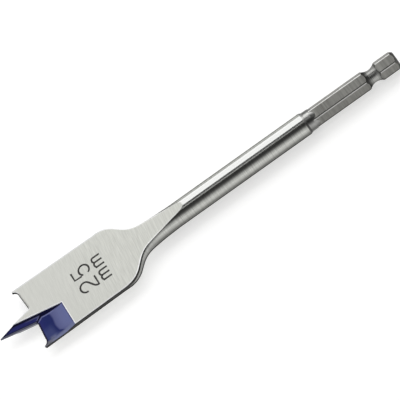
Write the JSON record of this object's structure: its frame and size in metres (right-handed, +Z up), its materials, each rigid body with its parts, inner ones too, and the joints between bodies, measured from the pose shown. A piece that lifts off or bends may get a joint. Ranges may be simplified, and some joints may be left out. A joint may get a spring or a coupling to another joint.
{
  "type": "spade drill bit",
  "caption": "Flat wood-boring bit with a centre point, spurred lips, hollow-ground grooves and a round stem that ends in a quick-change hex shank",
  "frame": {"origin": "centre of the bounding box in plan, on the surface that the stem's lower flat rests on", "axes": "+X runs along the bit from the point to the end of the shank, +Y across the blade, +Z up, square to the blade's flat faces"},
  "size_m": [0.16, 0.025, 0.0077],
  "materials": {
    "steel": "ground and brushed bright steel"
  },
  "bodies": {
    "root": {"spade_bit": "steel"}
  },
  "joints": []
}
